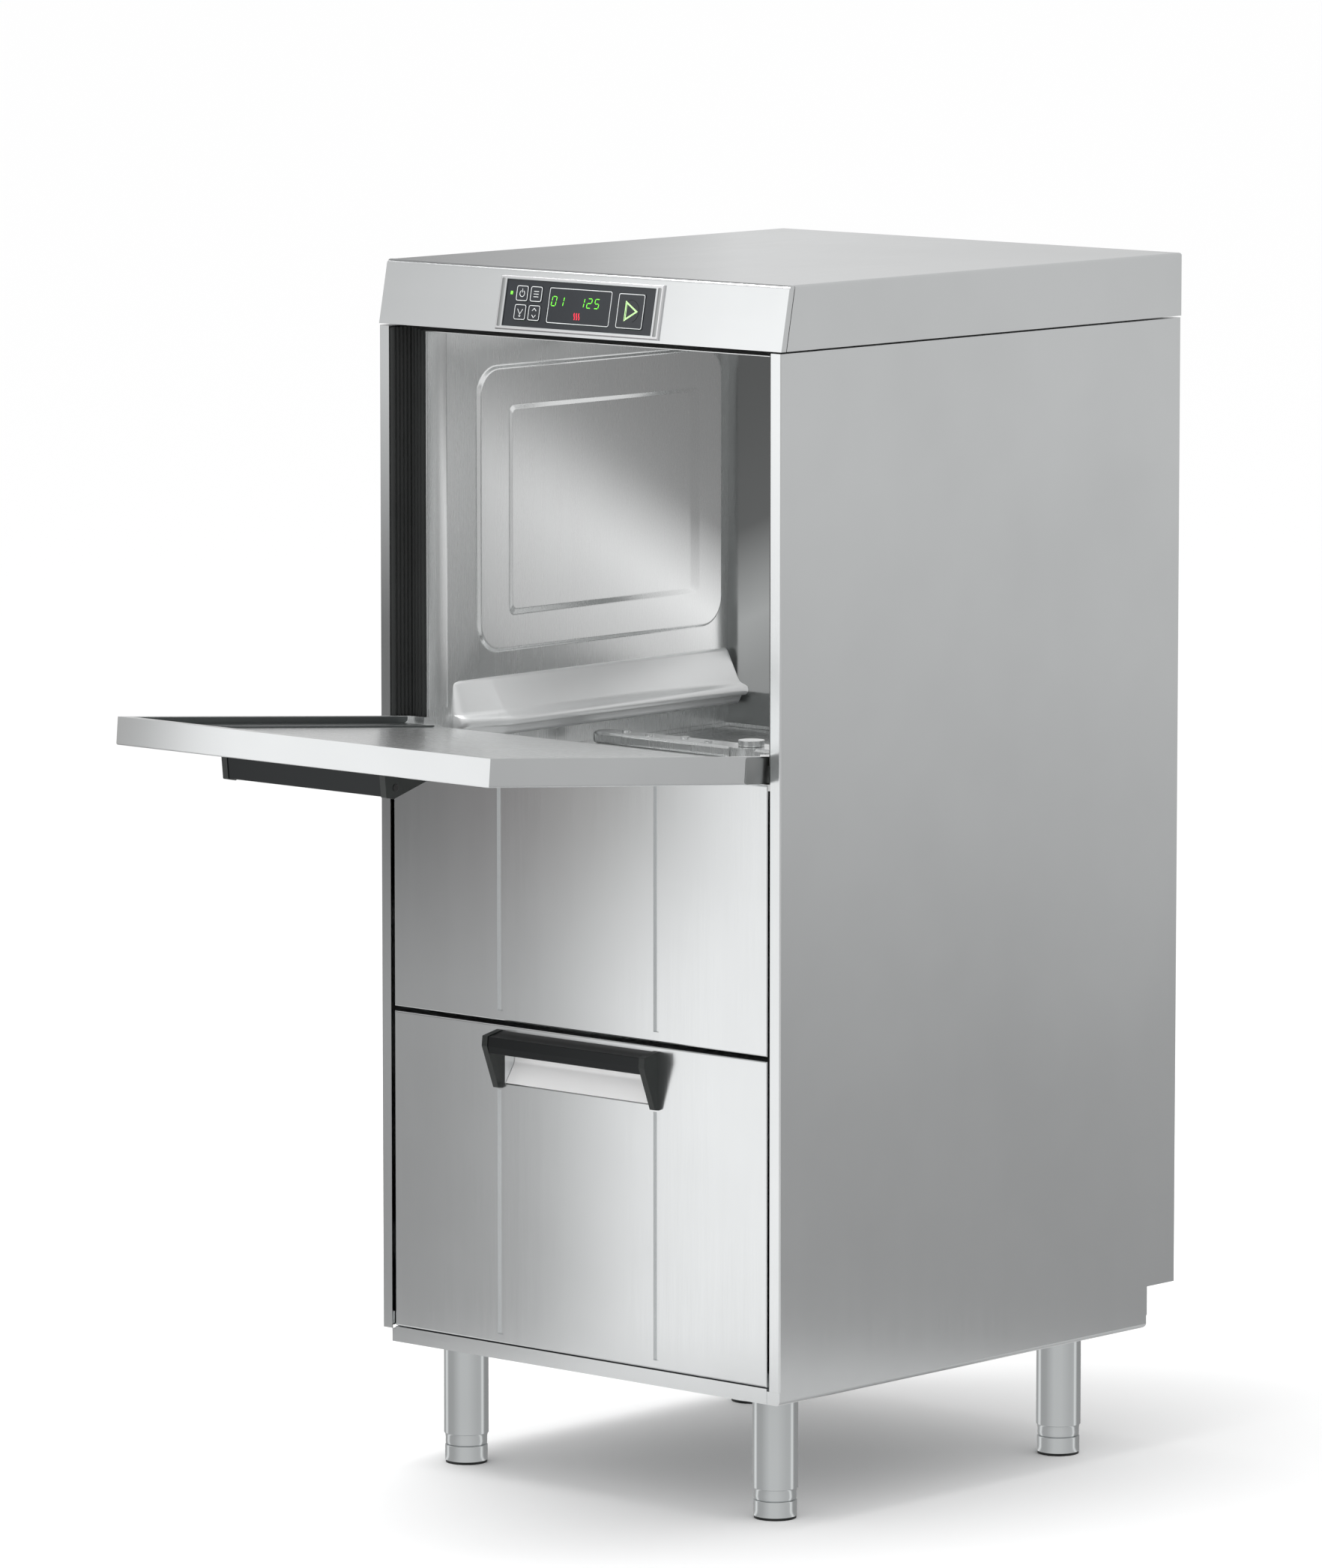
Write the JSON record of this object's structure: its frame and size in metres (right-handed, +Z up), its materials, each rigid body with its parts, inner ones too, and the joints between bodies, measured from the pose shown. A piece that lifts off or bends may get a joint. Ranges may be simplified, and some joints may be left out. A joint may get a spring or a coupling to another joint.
{
  "type": "glass washer machine",
  "caption": "Free-standing front-loading glass washer with a drop-down door, leaning control strip, lower drawer, wash arms and adjustable legs.",
  "frame": {"origin": "middle of the footprint on the floor, the open door included", "axes": "+Z up, +X to the right seen from the front, +Y from the front to the back"},
  "size_m": [0.6, 1.126, 1.37],
  "materials": {
    "panel_steel": "satin, finely brushed",
    "liner_steel": "matt pressed stainless",
    "leg_steel": "polished tube",
    "bezel_metal": "satin with bevelled edges",
    "black_glass": "gloss black",
    "display": "gloss black window",
    "key": "gloss black with a pale outline",
    "handle_plastic": "satin black",
    "handle_metal": "satin black anodised",
    "rubber": "matt",
    "zinc_steel": "zinc plated",
    "bottle_plastic": "milky moulded plastic",
    "motor_paint": "grey paint",
    "brass": "machined",
    "black_plastic": "moulded",
    "circuit": "board with components"
  },
  "bodies": {
    "cabinet": {"back_panel": "panel_steel", "base_tray": "panel_steel", "boiler": "liner_steel", "cable_gland": "black_plastic", "chamber_back_wall": "liner_steel", "chamber_ceiling": "liner_steel", "chamber_left_wall": "liner_steel", "chamber_right_wall": "liner_steel", "control_bezel": "bezel_metal", "control_board": "circuit", "control_glass": "black_glass", "display_window": "display", "door_frame": "liner_steel", "door_gasket": "rubber", "drain_outlet": "black_plastic", "front_fascia": "panel_steel", "hinge_blocks": "zinc_steel", "left_side_panel": "panel_steel", "leg_back_left": "leg_steel", "leg_back_right": "leg_steel", "leg_front_left": "leg_steel", "leg_front_right": "leg_steel", "lid": "panel_steel", "rack_rail_left": "liner_steel", "rack_rail_right": "liner_steel", "right_side_panel": "panel_steel", "runner_rails": "zinc_steel", "service_panel": "panel_steel", "tank_filter": "liner_steel", "wash_pump": "motor_paint", "wash_spindles": "liner_steel", "wash_tank": "liner_steel", "water_inlet": "brass"},
    "door": {"door_skin": "panel_steel", "door_liner": "liner_steel", "door_handle": "handle_metal", "door_handle_caps": "handle_plastic", "hinge_pins": "zinc_steel"},
    "drawer": {"drawer_front": "panel_steel", "drawer_handle": "handle_metal", "drawer_handle_caps": "handle_plastic", "drawer_tray": "zinc_steel", "detergent_bottle": "bottle_plastic", "rinse_bottle": "bottle_plastic"},
    "runner_slide": {"runner_members": "zinc_steel"},
    "lower_arm": {"lower_wash_arm": "liner_steel"},
    "upper_arm": {"upper_wash_arm": "liner_steel"},
    "key_power_cap": {"key_power": "key"},
    "key_program_cap": {"key_program": "key"},
    "key_drain_cap": {"key_drain": "key"},
    "key_level_cap": {"key_level": "key"},
    "key_start_cap": {"key_start": "key"},
    "foot_front_left_set": {"foot_front_left": "leg_steel", "foot_pad_front_left": "rubber"},
    "foot_front_right_set": {"foot_front_right": "leg_steel", "foot_pad_front_right": "rubber"},
    "foot_back_left_set": {"foot_back_left": "leg_steel", "foot_pad_back_left": "rubber"},
    "foot_back_right_set": {"foot_back_right": "leg_steel", "foot_pad_back_right": "rubber"}
  },
  "joints": [
    {"name": "door_hinge", "type": "hinge", "parent": "cabinet", "child": "door", "pos_m": [0, -0.10804, 0.8395], "axis": [-1, 0, 0], "range_deg": [0, 85]},
    {"name": "drawer_slide", "type": "slide", "parent": "cabinet", "child": "drawer", "axis": [0, -1, 0], "range_m": [0, 0.4]},
    {"name": "runner_travel", "type": "slide", "parent": "cabinet", "child": "runner_slide", "axis": [0, -1, 0], "range_m": [0, 0.2]},
    {"name": "lower_arm_spin", "type": "hinge", "parent": "cabinet", "child": "lower_arm", "pos_m": [0, 0.16856, 0.812], "axis": [0, 0, 1], "continuous": true},
    {"name": "upper_arm_spin", "type": "hinge", "parent": "cabinet", "child": "upper_arm", "pos_m": [0, 0.16856, 1.2766], "axis": [0, 0, 1], "continuous": true},
    {"name": "key_power_press", "type": "slide", "parent": "cabinet", "child": "key_power_cap", "axis": [0, 0.9808, -0.1951], "range_m": [0, 0.001], "stiffness_N_per_m": 2000},
    {"name": "key_program_press", "type": "slide", "parent": "cabinet", "child": "key_program_cap", "axis": [0, 0.9808, -0.1951], "range_m": [0, 0.001], "stiffness_N_per_m": 2000},
    {"name": "key_drain_press", "type": "slide", "parent": "cabinet", "child": "key_drain_cap", "axis": [0, 0.9808, -0.1951], "range_m": [0, 0.001], "stiffness_N_per_m": 2000},
    {"name": "key_level_press", "type": "slide", "parent": "cabinet", "child": "key_level_cap", "axis": [0, 0.9808, -0.1951], "range_m": [0, 0.001], "stiffness_N_per_m": 2000},
    {"name": "key_start_press", "type": "slide", "parent": "cabinet", "child": "key_start_cap", "axis": [0, 0.9808, -0.1951], "range_m": [0, 0.001], "stiffness_N_per_m": 2000},
    {"name": "foot_front_left_adjust", "type": "slide", "parent": "cabinet", "child": "foot_front_left_set", "axis": [0, 0, -1], "range_m": [0, 0.03]},
    {"name": "foot_front_right_adjust", "type": "slide", "parent": "cabinet", "child": "foot_front_right_set", "axis": [0, 0, -1], "range_m": [0, 0.03]},
    {"name": "foot_back_left_adjust", "type": "slide", "parent": "cabinet", "child": "foot_back_left_set", "axis": [0, 0, -1], "range_m": [0, 0.03]},
    {"name": "foot_back_right_adjust", "type": "slide", "parent": "cabinet", "child": "foot_back_right_set", "axis": [0, 0, -1], "range_m": [0, 0.03]}
  ],
  "couplings": [
    {"joint": "runner_travel", "follows": "drawer_slide", "ratio": 0.5}
  ]
}
